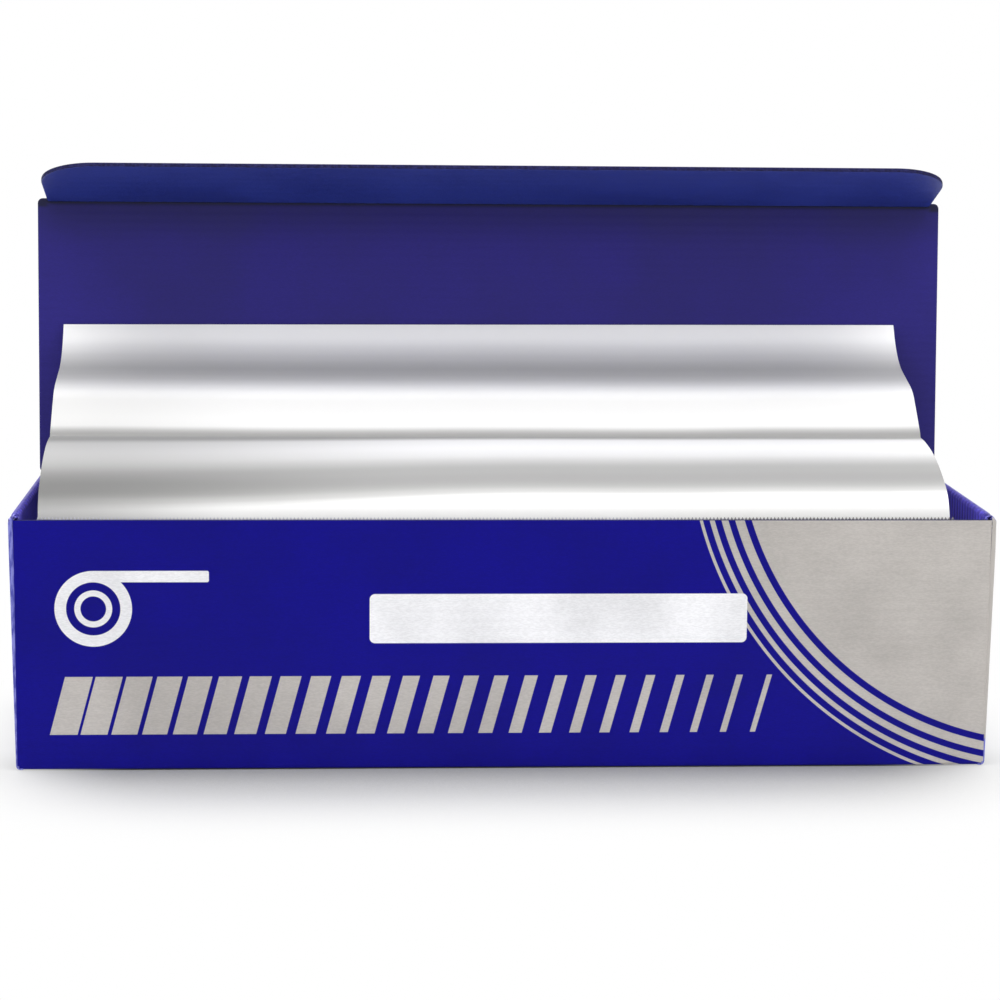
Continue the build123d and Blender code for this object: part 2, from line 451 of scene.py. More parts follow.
def from_line(tree, place, point):
    """Distance from the line along X through a point."""
    off_point = vector_node(tree, "SUBTRACT", place, point)
    return vector_node(tree, "LENGTH", vector_node(tree, "MULTIPLY", off_point, (0, 1, 1)))


end_board, tree, surface, place = start_material("end_wall_board")
axes = split_axes(tree, place)
from_middle = math_node(tree, "ABSOLUTE", axes["X"])
inside = soft_step(tree, from_middle, panel_half - 2 * ink_edge, panel_half - 10 * ink_edge)
outside = soft_step(tree, from_middle, panel_half + ink_edge, panel_half + 3 * ink_edge)
rib_wave = math_node(tree, "COSINE", times(tree, axes["Y"], 2 * pi / rib_pitch))
# Painted shade in the grooves between the ribs
groove_shade = times(
    tree,
    soft_step(tree, rib_wave, 0.30, 0.95),
    inside,
    soft_step(tree, axes["Z"], rim_height - 7 * ink_edge, rim_height - rib_fade),
)
# Painted sheen along the rim, mottled
rim_sheen = times(
    tree,
    soft_step(tree, axes["Z"], rim_height - rib_fade, rim_height - 5 * ink_edge),
    soft_step(tree, uneven(tree, place, 420.0, 5.0), 0.25, 0.60),
)
# The inside is paler than the outside: partly a lighter liner, partly painted light where the leaf shades it
end_colour = blend_colour(tree, inside, end_blue, inner_blue_and_light)
end_colour = blend_colour(tree, groove_shade, end_colour, groove_shade_blue)
end_colour = blend_colour(tree, rim_sheen, end_colour, rim_sheen_blue)
# At the crumpled front corner: painted shade in the wrinkles and painted highlights on them
crumpled = times(
    tree,
    soft_step(tree, axes["Y"], -crumple_from, -crumple_from - 0.0045),
    soft_step(tree, axes["Z"], crumple_low + 0.0005, crumple_low + 0.0035),
)
wrinkle = uneven(tree, place, 620.0, 2.0, Distortion=1.2)
for level, beyond, painted_tone in ((0.50, 0.42, wrinkle_shade), (0.55, 0.60, wrinkle_highlight)):
    wrinkled = times(tree, crumpled, soft_step(tree, wrinkle, level, beyond))
    end_colour = blend_colour(tree, wrinkled, end_colour, painted_tone)
from_rings = from_line(tree, place, (0, 0, end_rings_height))
picture = 0.0
for ring_radius, ring_width in end_rings:
    picture = math_node(tree, "MAXIMUM", picture, stripe(tree, from_rings, ring_radius, ring_width))
end_colour = blend_colour(tree, times(tree, picture, outside), end_colour, print_grey)
board_finish(tree, surface, place, end_colour, "Y")
fill_inputs(tree, surface, {"Specular IOR Level": 0.3})

# The front edges of the end walls are pale, partly scuffed and partly a painted highlight, and the grey
# field laps over the right one
scuff_highlight_dark = (0.070, 0.075, 0.400, 1)
scuff_highlight_pale = (0.230, 0.240, 0.640, 1)
field_foot = 0.0085
field_foot_top = 0.0100

end_edge, tree, surface, place = start_material("end_wall_edge")
axes = split_axes(tree, place)
scuffs = uneven(tree, place, 900.0, 4.0, (1, 1, 0.25))
scuffed_and_highlit = blend_colour(tree, soft_step(tree, scuffs, 0.35, 0.60), scuff_highlight_dark, scuff_highlight_pale)
lapped = times(
    tree,
    soft_step(tree, axes["X"], 0.0, 0.01),
    soft_step(tree, axes["Y"], -0.0490, -0.0498),
    soft_step(tree, axes["Z"], field_foot, field_foot_top),
)
fill_inputs(tree, surface, {
    "Base Color": blend_colour(tree, lapped, scuffed_and_highlit, print_grey),
    "Roughness": 0.7,
    "Specular IOR Level": 0.25,
})
roughen(tree, surface, scuffs, strength=0.4, distance=0.0002)


def clamped(value, low=0.0, high=1.0):
    return max(low, min(high, value))


def start_row(shape, first_end, second_end):
    return [shape.edges.new((shape.verts.new(first_end), shape.verts.new(second_end)))]


def carry_row(shape, row, step):
    """Draws a row of edges on by one step, which leaves a flat strip, and gives the new row."""
    out = bmesh.ops.extrude_edge_only(shape, edges=row)["geom"]
    carried = [item for item in out if isinstance(item, bmesh.types.BMVert)]
    bmesh.ops.translate(shape, verts=carried, vec=step)
    return [
        item for item in out
        if isinstance(item, bmesh.types.BMEdge) and all(vert in carried for vert in item.verts)
    ]


for side, end_name, crumple_depth in ((-1, "end_wall_left", 0.0014), (1, "end_wall_right", 0.0012)):
    shape = bmesh.new()
    fold_at = side * (panel_half - fold_radius + foot_out)
    foot_at = fold_at - side * foot_flat
    row = start_row(shape, (foot_at, -end_half, 0), (foot_at, end_half, 0))
    bmesh.ops.subdivide_edges(shape, edges=row, cuts=wall_columns - 1)
    row = carry_row(shape, shape.edges[:], (side * foot_flat, 0, 0))
    row = turn_row(shape, row, (fold_at, 0, fold_radius), (0, 1, 0), -side * pi / 2, 4)
    lean_out = rim_radius - foot_out
    rise = rim_height - rim_radius - fold_radius
    for step in range(outer_rows):
        row = carry_row(shape, row, (side * lean_out / outer_rows, 0, rise / outer_rows))
    rim_centre = (side * panel_half, 0, rim_height - rim_radius)
    row = turn_row(shape, row, rim_centre, (0, 1, 0), -side * pi / 2, rim_rows)
    narrowing = (inner_panel_half / end_half) ** (1 / rim_rows)
    for step in range(rim_rows):
        row = turn_row(shape, row, rim_centre, (0, 1, 0), -side * pi / 2 / rim_rows, 1)
        bmesh.ops.scale(shape, verts=row_verts(row), vec=(1, narrowing, 1))
    for drop in inner_drops:
        row = carry_row(shape, row, (0, 0, -drop))
    carry_row(shape, row, (0, 0, board - row[0].verts[0].co.z))
    face_outwards(shape, Vector((0, 0, 1)))
    for vert in shape.verts:
        inwards = panel_half - side * vert.co.x
        if inwards > tolerance and vert.co.z > board - tolerance:
            groove = max(0.0, cos(2 * pi * vert.co.y / rib_pitch)) ** groove_power
            fade = min(1.0, inwards / rim_radius) ** fade_power
            vert.co.x += side * rib_depth * groove * fade
    bmesh.ops.remove_doubles(shape, verts=shape.verts, dist=merge_distance)
    bmesh.ops.solidify(shape, geom=shape.faces[:], thickness=end_sheet)
    noise.seed_set(5)
    for vert in shape.verts:
        forwards = clamped((-vert.co.y - crumple_from) / crumple_run)
        upwards = clamped((vert.co.z - crumple_low) / crumple_rise)
        inwards = clamped((panel_half - side * vert.co.x) / rim_radius, -1.0, 1.0)
        shift = noise.noise_vector(vert.co * crumple_fineness + Vector((side * 7, 0, 0)))
        pressed = Vector((inwards * side * abs(shift.x) * 0.7, abs(shift.y) * 0.5, -abs(shift.z)))
        vert.co += pressed * crumple_depth * forwards * upwards
    for face in shape.faces:
        if abs(face.normal.y) > 0.8:
            face.material_index = 1
    finish_piece(shape, end_name, [end_board, end_edge], "carton", "printed_board", sharp_from=60)

    tab_length = slot_far - slot_near - 2 * tab_gap
    for back, back_name in ((-1, "front"), (1, "back")):
        tab_y = back * (slot_near + slot_far) / 2
        tab_place = (side * (inner_half + board / 2), tab_y, tab_middle_height)
        shape = bmesh.new()
        bmesh.ops.create_cube(shape, size=1)
        bmesh.ops.scale(shape, verts=shape.verts, vec=(tab_thickness, tab_length, board))
        bmesh.ops.translate(shape, verts=shape.verts, vec=tab_place)
        round_off(shape, shape.edges[:], worn_edge, 2)
        tab_name = f"lock_tab_{'left' if side < 0 else 'right'}_{back_name}"
        finish_piece(shape, tab_name, [end_board], "carton", "printed_board")


# Lid: the board panel that rises from the rear wall. Its inner side carries the same blue
# as a flat ink under a soft varnish, and its edges are plain cuts with rounded corners.
hinge = Vector((0, half_depth - board / 2, 0.0864))
lid_lean = radians(4.5)
lid_span = 0.0972
lid_corner = 0.0018
lid_worn_edge = 0.00045
lid_up = Vector((0, sin(lid_lean), cos(lid_lean)))
lid_out = Vector((0, cos(lid_lean), -sin(lid_lean)))
fold = hinge + lid_up * lid_span
lid_blue_low = (0.0180, 0.0115, 0.1850, 1)
lid_blue_flap_shadow = (0.0120, 0.0085, 0.126, 1)
fold_shade = (0.0022, 0.0026, 0.032, 1)


def with_fold_shade(tree, place, colour):
    """The fold shown as a line of painted shade in the ink, which widens at its two ends."""
    from_fold = from_line(tree, place, fold)
    from_middle = math_node(tree, "ABSOLUTE", split_axes(tree, place)["X"])
    at_fold = soft_step(tree, from_fold, 0.0010, 0.0020, 1.0, 0.0)
    at_end = times(
        tree,
        soft_step(tree, from_middle, 0.1590, 0.1615),
        soft_step(tree, from_fold, 0.0030, 0.0018),
    )
    return blend_colour(tree, math_node(tree, "MAXIMUM", at_fold, at_end), colour, fold_shade)


def lay_panel(shape, origin, lengthwise, outward):
    """Lays a flat panel in its place, its length in one direction and its face in another."""
    turned = Matrix((
        (1, 0, 0, 0),
        (0, lengthwise.y, outward.y, 0),
        (0, lengthwise.z, outward.z, 0),
        (0, 0, 0, 1),
    ))
    bmesh.ops.transform(shape, matrix=Matrix.Translation(origin) @ turned, verts=shape.verts)
    face_outwards(shape, outward)


lid_board, tree, surface, place = start_material("lid_board")
# Painted shadow of the tuck flap: the lid's inner blue darkens towards its top
flap_shadow = soft_step(tree, split_axes(tree, place)["Z"], 0.166, 0.182)
lid_colour = blend_colour(tree, flap_shadow, lid_blue_low, lid_blue_flap_shadow)
board_finish(tree, surface, place, with_fold_shade(tree, place, lid_colour), "X")
fill_inputs(tree, surface, {"Specular IOR Level": 0.26})

shape = bmesh.new()
bmesh.ops.create_grid(shape, x_segments=1, y_segments=1, size=0.5)
bmesh.ops.scale(shape, verts=shape.verts, vec=(2 * half_length, lid_span + board, 1))
round_off(shape, shape.verts[:], lid_corner, 5, affect="VERTICES")
lay_panel(shape, hinge + lid_up * (lid_span / 2) + lid_out * (board / 2), lid_up, lid_out)
lid = finish_piece(
    shape, "lid_panel", [printed_front, cut_edge, lid_board], "lid", "printed_board", "carton_lid"
)
give_thickness(lid, board, inside_slot=2)
wear_edges(lid, lid_worn_edge)


# Tuck flap: folds forward from the lid's edge with wide rounded corners, and goes inside
# the front wall when the carton is shut. Same board as the lid; its blue is painted greener and brighter
# than the lid's, as painted light from above.
flap_length = 0.042
flap_half = 0.1604
flap_from_fold = 0.0012
flap_corner = 0.020
flap_worn_edge = 0.00035
flap_tilt = radians(20)
flap_forward = Vector((0, -cos(flap_tilt), sin(flap_tilt)))
flap_up = Vector((0, sin(flap_tilt), cos(flap_tilt)))
flap_blue_as_lit = (0.0150, 0.0285, 0.2250, 1)

flap_board, tree, surface, place = start_material("flap_board")
board_finish(tree, surface, place, with_fold_shade(tree, place, flap_blue_as_lit), "X")
fill_inputs(tree, surface, {"Specular IOR Level": 0.35})

shape = bmesh.new()
bmesh.ops.create_grid(shape, x_segments=1, y_segments=1, size=0.5)
bmesh.ops.scale(shape, verts=shape.verts, vec=(2 * flap_half, flap_length - flap_from_fold, 1))
bmesh.ops.translate(shape, verts=shape.verts, vec=(0, (flap_length + flap_from_fold) / 2, 0))
free_corners = [vert for vert in shape.verts if vert.co.y > flap_length / 2]
round_off(shape, free_corners, flap_corner, 14, affect="VERTICES")
lay_panel(shape, fold + flap_up * (board / 2), flap_forward, flap_up)
flap = finish_piece(
    shape, "tuck_flap_panel", [printed_front, cut_edge, flap_board], "flap", "printed_board", "tuck_flap"
)
give_thickness(flap, board, inside_slot=2)
wear_edges(flap, flap_worn_edge)


# Creases: the pressed lines on which the board bends, from the rear wall to the lid and
# from the lid to the tuck flap. The board is crushed thinner there and bends with them.
crease_proud = 0.00003
crease_rows = 5
lid_crease_reach = 0.0035
flap_crease_reach = 0.0030
flap_crease_inset = 0.0004
press_depth = 0.00025
press_half = 0.0014


def crease_strip(name, half_width, start_at, turn_about, run, inner_board, thickness, pressed=0.0):
    """A strip of board that follows a run of straight steps and a bend, given as its angle."""
    shape = bmesh.new()
    row = start_row(
        shape, (-half_width, start_at.y, start_at.z), (half_width, start_at.y, start_at.z)
    )
    for step in run:
        if isinstance(step, Vector):
            row = carry_row(shape, row, step)
        else:
            row = turn_row(shape, row, turn_about, (1, 0, 0), step, 8)
    for vert in shape.verts:
        off_line = (vert.co - turn_about).dot(run[0].normalized())
        vert.co.y -= pressed * max(0.0, 1.0 - abs(off_line) / press_half)
    face_outwards(shape, Vector((0, 1, 0)))
    crease = finish_piece(shape, name, [printed_front, cut_edge, inner_board], None, "printed_board")
    give_thickness(crease, thickness, inside_slot=2, even=False)
    return crease


lid_crease_step = lid_crease_reach / crease_rows
lid_crease = crease_strip(
    "lid_crease", half_length - lid_corner,
    hinge + Vector((0, board / 2 + crease_proud, -lid_crease_reach)), hinge,
    [Vector((0, 0, lid_crease_step))] * crease_rows + [lid_up * lid_crease_step] * crease_rows,
    lid_board, board + 2 * crease_proud, pressed=press_depth,
)
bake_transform(lid_crease)

flap_crease_step = flap_crease_reach / crease_rows
fold_turn = pi / 2 - flap_tilt - lid_lean
flap_crease = crease_strip(
    "flap_crease", flap_half - flap_crease_inset,
    fold + lid_out * (board / 2 + crease_proud) - lid_up * flap_crease_reach, fold,
    [lid_up * flap_crease_step] * crease_rows + [fold_turn]
    + [flap_forward * flap_crease_step] * crease_rows,
    flap_board, board * 0.9,
)
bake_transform(flap_crease)


# Cutter: a strip of steel glued to the inside of the front wall, painted bright at the left as a reflection
# and dark at the right as shade. Its punched teeth stand just above the edge, and the CAD node already has
# every one of them.
steel_painted_reflection = ((0.58, 0.58, 0.62, 1), (0.80, 0.80, 0.86, 1))
steel_painted_shade = ((0.22, 0.215, 0.21, 1), (0.40, 0.39, 0.38, 1))
bright_until = 0.040
dark_from = 0.085

cutter_steel, tree, surface, place = start_material("cutter_steel")
drawn = uneven(tree, place, 6.0, 4.0, (40, 900, 900))
bright = blend_colour(tree, drawn, *steel_painted_reflection)
dark = blend_colour(tree, drawn, *steel_painted_shade)
# Painted reflection at the left turning to painted shade at the right
shade_to_right = soft_step(tree, split_axes(tree, place)["X"], bright_until, dark_from)
fill_inputs(tree, surface, {
    "Base Color": blend_colour(tree, shade_to_right, bright, dark),
    "Roughness": soft_step(tree, drawn, 0.3, 0.7, 0.30, 0.48),
    "Metallic": 1.0,
})
roughen(tree, surface, drawn, strength=0.25, distance=0.00005)
for material_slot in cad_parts["cutter_strip"].material_slots:
    material_slot.material = cutter_steel


# Core: a spirally wound tube of grey board, a little longer than the foil is wide, so its
# two ends stand out of the roll. The ply's edge shows as a seam that winds along the tube.
core_bore = 0.019
core_wall = 0.002
core_left = -0.1605
core_length = 0.316
core_chamfer = 0.0003
roll_radius = 0.0283925
roll_behind = 0.003
roll_centre = Vector((0, roll_behind, board + roll_radius))
seam_pitch = 0.075
kraft_dark = (0.30, 0.24, 0.17, 1)
kraft_pale = (0.50, 0.42, 0.32, 1)
seam_dark = (0.12, 0.09, 0.06, 1)

core_board, tree, surface, place = start_material("core_board")
axes = split_axes(tree, vector_node(tree, "SUBTRACT", place, roll_centre))
angle = math_node(tree, "ARCTAN2", axes["Z"], axes["Y"])
turns = math_node(
    tree, "ADD", times(tree, axes["X"], 1 / seam_pitch), times(tree, angle, 1 / (2 * pi))
)
seam = soft_step(tree, away_from(tree, math_node(tree, "FRACT", turns), 0.5), 0.004, 0.010, 1.0, 0.0)
pulp = uneven(tree, place, 260.0, 8.0, Roughness=0.7)
kraft = blend_colour(tree, pulp, kraft_dark, kraft_pale)
fill_inputs(tree, surface, {
    "Base Color": blend_colour(tree, seam, kraft, seam_dark),
    "Roughness": 0.85,
    "Specular IOR Level": 0.25,
})
core_relief = math_node(tree, "SUBTRACT", times(tree, pulp, 0.4), seam)
roughen(tree, surface, core_relief, strength=0.5, distance=0.0002)


def turned_piece(profile, steps):
    """Turns a closed outline of (x, radius) points round the roll's axis."""
    shape = bmesh.new()
    corners = [shape.verts.new((x, roll_centre.y, roll_centre.z + radius)) for x, radius in profile]
    ring = [shape.edges.new(ends) for ends in zip(corners, corners[1:] + corners[:1])]
    bmesh.ops.spin(
        shape, geom=corners + ring, cent=roll_centre, axis=(1, 0, 0), angle=2 * pi, steps=steps,
        use_merge=True,
    )
    bmesh.ops.remove_doubles(shape, verts=shape.verts, dist=merge_distance)
    bmesh.ops.recalc_face_normals(shape, faces=shape.faces)
    return shape


core_right = core_left + core_length
core_out = core_bore + core_wall
shape = turned_piece(
    [
        (core_left, core_bore + core_chamfer), (core_left + core_chamfer, core_bore),
        (core_right - core_chamfer, core_bore), (core_right, core_bore + core_chamfer),
        (core_right, core_out - core_chamfer), (core_right - core_chamfer, core_out),
        (core_left + core_chamfer, core_out), (core_left, core_out - core_chamfer),
    ],
    96,
)
finish_piece(shape, "core_tube_wound", [core_board], "carton", "core_board", "core_tube")


# Foil roll: seventy-six metres of foil wound on the core. The side is one smooth bright
# turn, and its ends show the edges of the turns as fine uneven rings.
foil_width = 0.3048
foil_left = -0.1549
foil_right = foil_left + foil_width
foil_off_core = 0.00002
foil_dark = (0.86, 0.865, 0.875, 1)
foil_pale = (0.94, 0.94, 0.945, 1)
ring_dark = (0.30, 0.31, 0.33, 1)
ring_pale = (0.85, 0.86, 0.88, 1)
line_relief = 0.0000002
wave_relief = 0.0003

foil_metal, tree, surface, place = start_material("foil_metal")
lines = uneven(tree, place, 900.0, 3.0, (1.0, 0.06, 0.06), Roughness=0.6)
waves = uneven(tree, place, 16.0, 2.0, (1.0, 0.35, 0.35))
fill_inputs(tree, surface, {
    "Base Color": blend_colour(tree, lines, foil_dark, foil_pale),
    "Metallic": 1.0,
    "Roughness": soft_step(tree, lines, 0.3, 0.7, 0.27, 0.34),
})
foil_relief = math_node(tree, "ADD", times(tree, lines, line_relief), times(tree, waves, wave_relief))
roughen(tree, surface, foil_relief, strength=0.4, distance=1.0)

roll_end, tree, surface, place = start_material("foil_roll_end")
rings = add_node(
    tree, "ShaderNodeTexNoise",
    {"W": from_line(tree, place, roll_centre), "Scale": 4500.0, "Detail": 5.0},
    noise_dimensions="1D",
).outputs[0]
fill_inputs(tree, surface, {
    "Base Color": blend_colour(tree, rings, ring_dark, ring_pale),
    "Metallic": 1.0,
    "Roughness": 0.42,
})
roughen(tree, surface, rings, strength=0.7, distance=0.0002)

# Some turns sit a little deeper than their neighbours, and the outermost one is rounded over
sunk = (
    0.0, 0.00012, 0.00004, 0.00022, 0.00008, 0.00018,
    0.00002, 0.00024, 0.00010, 0.00005, 0.00020, 0.00006,
)
end_slope = 0.00012
end_round = 0.0003
ring_step = (roll_radius - core_out) / len(sunk)
face_radii = [core_out + foil_off_core + step * ring_step for step in range(len(sunk))]
outline = [(foil_left + depth, radius) for depth, radius in zip(sunk, face_radii)]
outline += [(foil_left + end_slope, roll_radius - end_slope), (foil_left + end_round, roll_radius)]
outline += [(foil_right - end_round, roll_radius), (foil_right - end_slope, roll_radius - end_slope)]
outline += [(foil_right - depth, radius) for depth, radius in zip(reversed(sunk), reversed(face_radii))]
shape = turned_piece(outline, 128)
for face in shape.faces:
    if abs(face.normal.x) > 0.4:
        face.material_index = 1
finish_piece(shape, "foil_roll_wound", [foil_metal, roll_end], "carton", "foil", "foil_roll")


# Leaf: the length of foil pulled off the roll. It leaves the roll over the top, turns back
# behind the cutter, bulges, is creased, humps again and leans its free end on the lid.
# Across it runs painted light: grey and bright bands of painted shade and highlight along its run, darker at
# the left.
leaf_thickness = 0.00008
leaf_columns = 76
leaf_gap = 0.00025
wrap_radius = roll_radius + leaf_gap
wrap_angle = radians(40)
turn_radius = 0.003
turn_centre = Vector((0, -0.0406, 0.0832))
bulge_start_angle = radians(78)
bulge_front_run = 0.0024
bulge_front_radius = 0.012
bulge_shoulder_angle = radians(36)
bulge_top_radius = 0.062
bulge_end_angle = radians(0)
crease_radius = 0.0012
hump_start_angle = radians(60)
hump_foot_radius = 0.006
hump_front_angle = radians(42)
hump_front_run = 0.0140
hump_top_radius = 0.020
hump_end_angle = radians(14)
lean_radius = 0.030
lean_angle = radians(56)
leaf_end_run = 0.0036
leaf_off_lid = 0.00055
drawn_in_by = 0.0022
drawn_in_lead = 0.010
slant_drop = 0.0010
slant_run = 0.030


def along(angle):
    return Vector((0, cos(angle), sin(angle)))


class LeafSheet:
    """The leaf as it is drawn on row by row, with the length run so far kept on each row."""

    def __init__(self, first_end, second_end, heading):
        self.shape = bmesh.new()
        self.run_layer = self.shape.verts.layers.float.new("run")
        self.run = 0.0
        self.heading = heading
        first_row = start_row(self.shape, first_end, second_end)
        bmesh.ops.subdivide_edges(self.shape, edges=first_row, cuts=leaf_columns - 1)
        self.row = self.shape.edges[:]

    def mark_run(self, length):
        self.run += length
        for vert in row_verts(self.row):
            vert[self.run_layer] = self.run

    def go_on(self, length, steps):
        for step in range(steps):
            self.row = carry_row(self.shape, self.row, along(self.heading) * length / steps)
            self.mark_run(length / steps)

    def bend_to(self, radius, new_heading, steps):
        turn = new_heading - self.heading
        at = self.row[0].verts[0].co
        centre = Vector((0, at.y, at.z)) + along(self.heading + copysign(pi / 2, turn)) * radius
        for step in range(steps):
            self.row = turn_row(self.shape, self.row, centre, (1, 0, 0), turn / steps, 1)
            self.mark_run(abs(turn) * radius / steps)
        self.heading = new_heading


to_turn = turn_centre - roll_centre
both_radii = wrap_radius + turn_radius
leave_angle = atan2(to_turn.z, to_turn.y) + asin(both_radii / hypot(to_turn.y, to_turn.z))
straight_run = sqrt(to_turn.y ** 2 + to_turn.z ** 2 - both_radii ** 2)
begin_angle = leave_angle - wrap_angle
begin = roll_centre + along(begin_angle - pi / 2) * wrap_radius

sheet = LeafSheet((foil_left, begin.y, begin.z), (foil_right, begin.y, begin.z), begin_angle)
sheet.bend_to(wrap_radius, leave_angle, 12)
sheet.go_on(straight_run, 12)
sheet.bend_to(turn_radius, bulge_start_angle, 12)
front_run = sheet.run
sheet.go_on(bulge_front_run, 1)
sheet.bend_to(bulge_front_radius, bulge_shoulder_angle, 8)
sheet.bend_to(bulge_top_radius, bulge_end_angle, 16)
crease_run = sheet.run
sheet.bend_to(crease_radius, hump_start_angle, 6)
sheet.bend_to(hump_foot_radius, hump_front_angle, 6)
sheet.go_on(hump_front_run, 5)
sheet.bend_to(hump_top_radius, hump_end_angle, 8)
hump_end = sheet.row[0].verts[0].co.copy()
lean_turn = lean_angle - hump_end_angle
lean_chord = 2 * lean_radius * sin(lean_turn / 2)
reach = along(hump_end_angle + lean_turn / 2) * lean_chord + along(lean_angle) * leaf_end_run
free_side = Vector((0, hump_end.y, hump_end.z)) + reach - hinge
room = -free_side.dot(lid_out) - board / 2 - leaf_off_lid
sheet.go_on(room / cos(hump_end_angle + lid_lean), 4)
sheet.bend_to(lean_radius, lean_angle, 12)
sheet.go_on(leaf_end_run, 2)
end_run = sheet.run

# The right edge is drawn in from the front wall on, and the free edge hangs lower at the left
shape = sheet.shape
for vert in shape.verts:
    run = vert[sheet.run_layer]
    drawn_in = clamped((run - front_run + drawn_in_lead) / (crease_run - front_run))
    vert.co.x -= drawn_in_by * drawn_in * max(0.0, vert.co.x / foil_right)
    lowered = clamped((run - end_run + slant_run) / slant_run) * (0.5 - vert.co.x / foil_width)
    vert.co -= along(lean_angle) * slant_drop * lowered
face_outwards(shape, Vector((0, -1, 0)))
bmesh.ops.solidify(shape, geom=shape.faces[:], thickness=leaf_thickness)

# Painted light on the leaf: bands of painted shade and highlight along its run, and painted shade towards
# the left
band_painted_shade = (0.268, 0.266, 0.262, 1)
band_painted_highlight = (0.950, 0.947, 0.938, 1)
hollow_shade_tint = (0.64, 0.64, 0.64, 1)
sway = 0.004
left_rise = 0.0048
lower_levels = (
    (0.0, 1.0), (0.10, 1.0), (0.13, 0.98), (0.15, 0.82), (0.18, 0.45), (0.22, 0.25), (0.28, 0.12),
    (0.37, 0.14), (0.47, 0.25), (0.57, 0.60), (0.68, 0.87), (0.80, 0.88), (0.90, 0.72),
    (0.955, 0.30), (1.0, 0.08),
)
upper_levels = (
    (0.0, 0.08), (0.03, 0.08), (0.055, 0.28), (0.08, 0.58), (0.26, 0.62), (0.31, 0.80), (0.35, 0.80),
    (0.40, 0.70), (0.47, 0.47), (0.54, 0.34), (0.60, 0.30), (0.67, 0.31), (0.74, 0.46),
    (0.80, 0.63), (0.87, 0.86), (0.92, 1.0),
)


def share_of(tree, value, start, end):
    return math_node(tree, "DIVIDE", math_node(tree, "SUBTRACT", value, start), end - start)


def painted_band_ramp(tree, share, levels):
    """How bright the foil is painted along its run, as painted light, by (share of the run, brightness)
    pairs.
    """
    ramp = add_node(tree, "ShaderNodeValToRGB", {0: share})
    ramp.color_ramp.interpolation = "CARDINAL"
    while len(ramp.color_ramp.elements) < len(levels):
        ramp.color_ramp.elements.new(0.5)
    for element, (position, level) in zip(ramp.color_ramp.elements, levels):
        element.position = position
        element.color = (level, level, level, 1)
    return ramp.outputs[0]


leaf_metal, tree, surface, place = start_material("leaf_metal")
run = add_node(tree, "ShaderNodeAttribute", attribute_name="run").outputs["Fac"]
x = split_axes(tree, place)["X"]
drift = math_node(tree, "SUBTRACT", uneven(tree, place, 9.0, 1.0, (1.0, 0.2, 0.2)), 0.5)
swayed = math_node(tree, "SUBTRACT", run, times(tree, drift, sway))
raised = math_node(tree, "ADD", swayed, times(tree, soft_step(tree, x, 0.02, -0.16), left_rise))
lower_share = share_of(tree, raised, front_run, crease_run)
upper_share = share_of(tree, swayed, crease_run, end_run)

foot_shade = soft_step(tree, x, -0.085, -0.15, 1.0, 0.48)
left_shade = soft_step(tree, x, 0.0, -0.15, 1.0, 0.38)
above_foot = soft_step(tree, raised, front_run + 0.0095, front_run + 0.0125)
lower_shade = blend_colour(tree, above_foot, foot_shade, left_shade)
upper_shade = soft_step(tree, x, -0.08, -0.14, 1.0, 0.84)
lower_band = times(tree, painted_band_ramp(tree, lower_share, lower_levels), lower_shade)
upper_band = times(tree, painted_band_ramp(tree, upper_share, upper_levels), upper_shade)
past_crease = soft_step(tree, run, crease_run - 0.0003, crease_run + 0.0003)
painted_bands = blend_colour(tree, past_crease, lower_band, upper_band)
painted_band_colour = blend_colour(tree, painted_bands, band_painted_shade, band_painted_highlight)
# Painted shade in the hollow of the lower bulge, towards the left
hollow_painted_shade = times(
    tree,
    soft_step(tree, lower_share, 0.17, 0.28),
    soft_step(tree, lower_share, 0.55, 0.33),
    soft_step(tree, x, -0.03, -0.15),
)
fill_inputs(tree, surface, {
    "Base Color": blend_colour(tree, hollow_painted_shade, painted_band_colour, hollow_shade_tint, mode="MULTIPLY"),
    "Metallic": 0.40,
    "Roughness": soft_step(tree, painted_bands, 0.2, 1.0, 0.66, 0.60),
})
leaf_waves = uneven(tree, place, 14.0, 2.0, (1.0, 0.25, 0.25))
roughen(tree, surface, leaf_waves, strength=0.25, distance=0.0006)

leaf = finish_piece(shape, "foil_leaf_sheet", [leaf_metal], None, "foil", "foil_leaf", sharp_from=75)
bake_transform(leaf)


# Floor and light: a white sweep that runs up behind the carton, one broad lamp above it,
# weaker ones at the left and right, and an even white room. Near the carton the floor
# keeps the lamps' shadow and adds a painted shadow from its occlusion, deeper in front, and further out it
# is plain white.
sweep_half = 4
sweep_front = -3
sweep_back = 2
sweep_radius = 1
sweep_wall = 2
floor_level = -0.0002
floor_white = 0.86
shadow_middle = (0, -0.012, 0)
shadow_half_size = (0.110, 0.050)
shadow_until = 0.012
white_from = 0.085


def looking_ray(tree):
    """1 for a ray that looks at a surface or mirrors it, 0 for one that only lights others."""
    ray = add_node(tree, "ShaderNodeLightPath").outputs
    mirrored = math_node(tree, "ADD", ray["Is Glossy Ray"], ray["Is Transmission Ray"])
    return math_node(tree, "MINIMUM", math_node(tree, "ADD", ray["Is Camera Ray"], mirrored), 1.0)


sweep_white, tree, surface, place = start_material("sweep_white")
seen = looking_ray(tree)
axes = split_axes(tree, place)
floor_place = combine_axes(tree, axes["X"], axes["Y"])
from_shadow = rounded_box(tree, floor_place, shadow_middle, shadow_half_size, 0.0)
far = soft_step(tree, from_shadow, shadow_until, white_from)
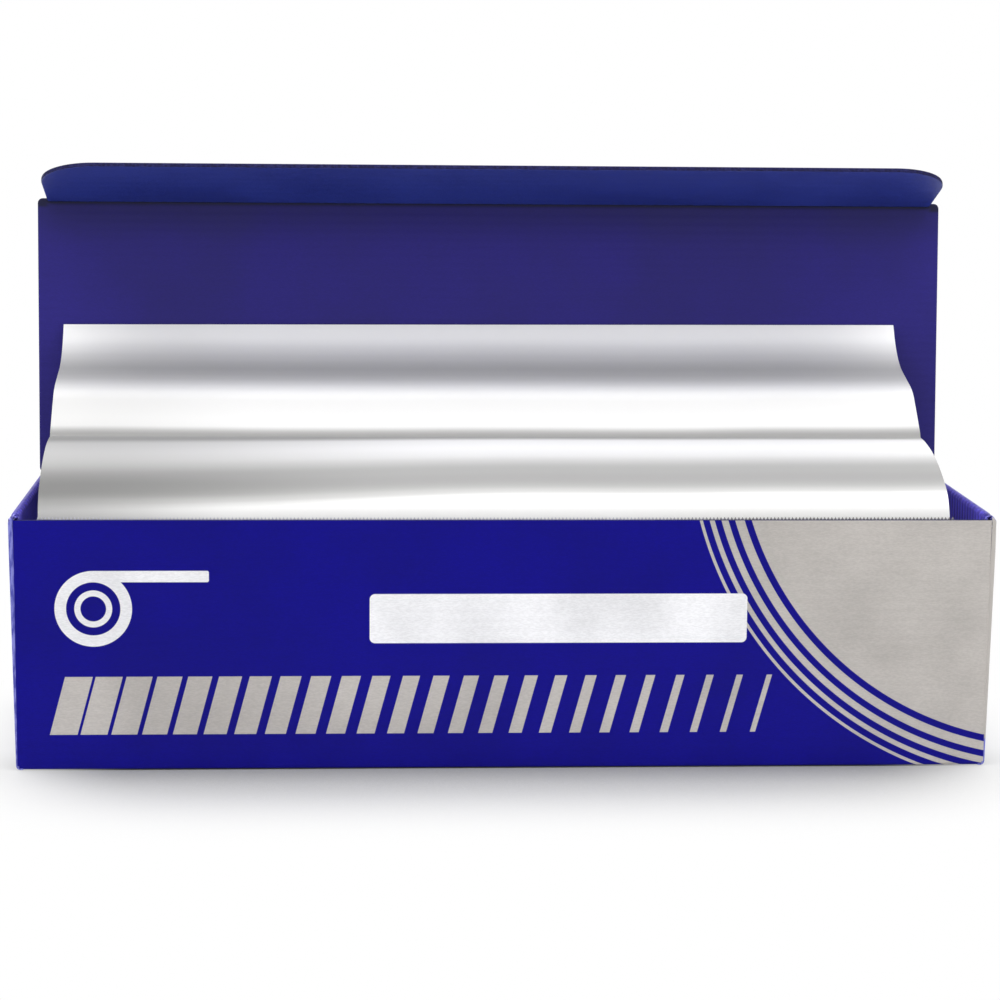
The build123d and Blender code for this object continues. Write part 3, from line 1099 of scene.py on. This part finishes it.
# Painted shadow: the floor's colour darkens with its occlusion, more steeply in front of the carton, for
# looking rays
occlusion = add_node(tree, "ShaderNodeAmbientOcclusion", {"Distance": 0.12}, samples=16).outputs["AO"]
painted_shadow_power = times(tree, seen, soft_step(tree, axes["Y"], -0.020, -0.055, 0.3, 1.5))
painted_shadow_floor = times(tree, math_node(tree, "POWER", occlusion, painted_shadow_power), floor_white)
fill_inputs(tree, surface, {
    "Base Color": combine_axes(tree, painted_shadow_floor, painted_shadow_floor, painted_shadow_floor),
    "Roughness": 0.9,
    "Specular IOR Level": 0.1,
})
glow = add_node(tree, "ShaderNodeEmission", {"Strength": 1.0}).outputs[0]
lit = add_node(tree, "ShaderNodeEmission", {"Strength": 0.02}).outputs[0]
near_floor = add_node(tree, "ShaderNodeAddShader", {0: surface.outputs[0], 1: lit}).outputs[0]
looked_at = add_node(tree, "ShaderNodeMixShader", {0: far, 1: near_floor, 2: glow}).outputs[0]
whole = add_node(tree, "ShaderNodeMixShader", {0: seen, 1: surface.outputs[0], 2: looked_at}).outputs[0]
fill_inputs(tree, tree.nodes["Material Output"], {"Surface": whole})

shape = bmesh.new()
row = start_row(shape, (-sweep_half, sweep_front, floor_level), (sweep_half, sweep_front, floor_level))
row = carry_row(shape, row, (0, sweep_back - sweep_front, 0))
row = turn_row(shape, row, (0, sweep_back, sweep_radius), (1, 0, 0), pi / 2, 16)
carry_row(shape, row, (0, 0, sweep_wall))
bmesh.ops.recalc_face_normals(shape, faces=shape.faces)
sweep = make_object(shape, "sweep", [sweep_white])

world = bpy.data.worlds.new("studio")
bpy.context.scene.world = world
world.use_nodes = True
tree = world.node_tree
fill_inputs(tree, tree.nodes["Background"], {
    "Color": (1, 1, 1, 1),
    "Strength": soft_step(tree, looking_ray(tree), 0.0, 1.0, 0.48, 1.0),
})


def aim_lamp(name, place, target, size, power):
    lamp = bpy.data.lights.new(name, "AREA")
    lamp.shape = "RECTANGLE"
    lamp.size, lamp.size_y = size
    lamp.energy = power
    holder = bpy.data.objects.new(name, lamp)
    holder.location = place
    holder.rotation_euler = (Vector(target) - Vector(place)).to_track_quat("-Z", "Y").to_euler()
    bpy.context.scene.collection.objects.link(holder)


aim_lamp("top_softbox", (0, -0.20, 1.3), target=(0, 0, 0.10), size=(2.4, 1.0), power=19)
aim_lamp("left_softbox", (-1.1, -1.0, 0.8), target=(0, 0, 0.08), size=(0.8, 0.8), power=3.8)
aim_lamp("right_softbox", (1.2, -1.0, 0.7), target=(0, 0, 0.08), size=(0.8, 0.8), power=3.0)


# Camera: where the photograph was taken from, in front and a little above the carton,
# turned slightly to the right, with a long lens.
camera_place = (-0.0556, -0.9511, 0.2310)
camera_turn = radians(-3.37)
camera_down = radians(8.83)
camera_roll = radians(0.53)

camera_data = bpy.data.cameras.new("camera")
camera_data.sensor_width = 36
camera_data.lens = 99.5
camera_data.clip_start = 0.01
camera = bpy.data.objects.new("camera", camera_data)
camera.matrix_world = (
    Matrix.Translation(camera_place)
    @ Matrix.Rotation(camera_turn, 4, "Z")
    @ Matrix.Rotation(pi / 2 - camera_down, 4, "X")
    @ Matrix.Rotation(camera_roll, 4, "Z")
)
bpy.context.scene.collection.objects.link(camera)
bpy.context.scene.camera = camera
bpy.context.scene.view_settings.view_transform = "Standard"
